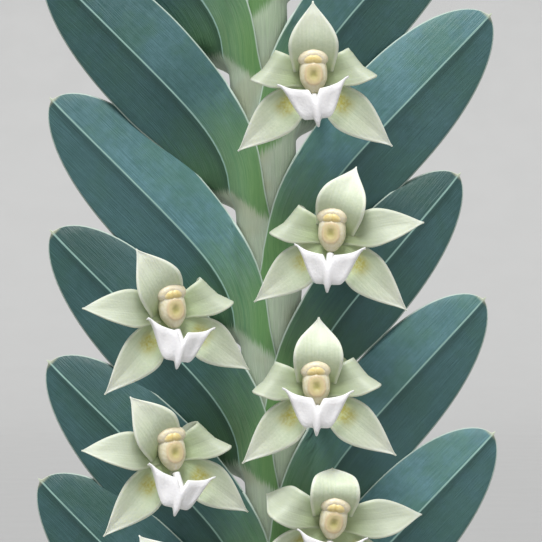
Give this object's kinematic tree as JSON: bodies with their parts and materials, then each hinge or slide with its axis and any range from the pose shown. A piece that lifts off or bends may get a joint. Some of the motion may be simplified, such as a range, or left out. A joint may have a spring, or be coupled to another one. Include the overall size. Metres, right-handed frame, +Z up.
{
  "type": "potted orchid",
  "caption": "Potted miniature orchid with flattened stems, flat ranks of blue-green leaves and cream star-shaped flowers with white anchor-shaped lips, in a plain clay pot",
  "frame": {"origin": "centre of the pot's flat underside", "axes": "+Z up along the pot's axis; the tall stem's leaves lie in the XZ plane and its front, with the flowers, faces -Y"},
  "size_m": [0.1751, 0.1, 0.2906],
  "materials": {
    "clay": "matt, unglazed",
    "bark": "rough bark chips",
    "leaf": null,
    "tepal": null,
    "lip": null
  },
  "bodies": {
    "root": {"pot": "clay", "potting_mix": "bark", "stem_main": "leaf", "stem_left": "leaf", "stem_right": "leaf", "shoot_front": "leaf", "bloom_1": "tepal", "bloom_2": "tepal", "bloom_3": "tepal", "bloom_4": "tepal", "bloom_5": "tepal", "bloom_6": "tepal", "bloom_7": "tepal", "bloom_8": "tepal", "bloom_9": "tepal", "lip_1": "lip", "lip_2": "lip", "lip_3": "lip", "lip_4": "lip", "lip_5": "lip", "lip_6": "lip", "lip_7": "lip", "lip_8": "lip", "lip_9": "lip"}
  },
  "joints": []
}
